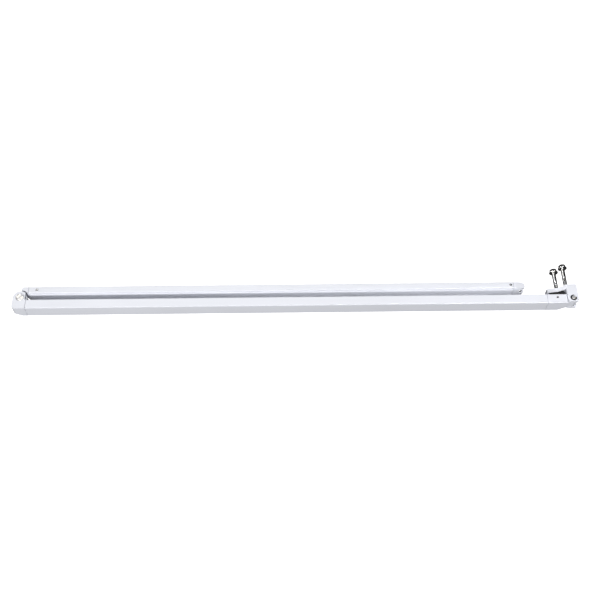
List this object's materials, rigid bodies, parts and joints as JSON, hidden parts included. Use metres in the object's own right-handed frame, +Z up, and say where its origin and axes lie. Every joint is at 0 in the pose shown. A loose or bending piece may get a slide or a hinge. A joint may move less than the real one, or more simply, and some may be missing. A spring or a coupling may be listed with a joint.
{
  "type": "folding awning arm",
  "caption": "Lateral folding awning arm, folded: two white tubes on an elbow, shoulder bracket with backed-out bolts, forked nose, and a hidden gas strut that draws a cable over pulleys.",
  "frame": {"origin": "on the bracket's clamp face, straight behind the shoulder pivot and halfway up the arm", "axes": "+Z up along both pivots; +Y out of the clamp face, into what the bracket is bolted to; the folded arm runs towards -X"},
  "size_m": [1.3703, 0.111, 0.0472],
  "materials": {
    "powder_coat": "satin powder coat, white with a slight blue cast",
    "steel": "bright zinc plate",
    "black_steel": "semi-gloss black paint",
    "chrome": "polished",
    "zinc": "as cast, tumbled",
    "brass": "machined",
    "wire_rope": "stranded, bright",
    "black_rubber": "matt moulded",
    "black_plastic": "moulded acetal, matt"
  },
  "bodies": {
    "bracket": {"shoulder_bracket": "powder_coat", "stop_buffer": "black_rubber", "shoulder_pin": "steel", "shoulder_clip": "black_steel"},
    "bolt_left": {"mounting_bolt_left": "steel"},
    "bolt_right": {"mounting_bolt_right": "steel"},
    "upper_arm": {"shoulder_knuckle": "powder_coat", "shoulder_bushes": "black_plastic", "tilt_set_screw": "steel", "upper_arm_tube": "powder_coat", "upper_arm_rivets": "steel", "elbow_fork": "powder_coat", "elbow_pin": "steel", "elbow_clip": "steel", "strut_anchor": "zinc", "strut_cylinder": "black_steel", "rod_guide": "black_plastic", "strut_saddle": "black_plastic", "strut_rivets": "steel"},
    "slider": {"strut_piston": "brass", "strut_rod": "chrome", "crosshead": "black_plastic", "cable_strands": "wire_rope", "cable_ferrules": "steel"},
    "forearm": {"cable_wraps": "wire_rope", "cable_end_stops": "steel", "cable_pulleys": "zinc", "pulley_dowels": "steel", "elbow_knuckle": "powder_coat", "elbow_bushes": "black_plastic", "forearm_tube": "powder_coat", "forearm_rivets": "steel", "rail_fork": "powder_coat", "rail_bushes": "black_plastic"}
  },
  "joints": [
    {"name": "shoulder_turn", "type": "hinge", "parent": "bracket", "child": "upper_arm", "pos_m": [0, -0.039, 0], "axis": [0, 0, 1], "range_deg": [0, 180]},
    {"name": "elbow_fold", "type": "hinge", "parent": "upper_arm", "child": "forearm", "pos_m": [-1.34, -0.0181, 0], "axis": [0, 0, 1], "range_deg": [0, 110], "deforming": ["cable_wraps"]},
    {"name": "strut_stroke", "type": "slide", "parent": "upper_arm", "child": "slider", "axis": [1, 0, 0], "range_m": [0, 0.028]},
    {"name": "bolt_left_travel", "type": "slide", "parent": "bracket", "child": "bolt_left", "axis": [0, 1, 0], "range_m": [0, 0.006]},
    {"name": "bolt_right_travel", "type": "slide", "parent": "bracket", "child": "bolt_right", "axis": [0, 1, 0], "range_m": [0, 0.006]}
  ],
  "couplings": [
    {"joint": "strut_stroke", "follows": "elbow_fold", "m_per_rad": 0.014}
  ]
}
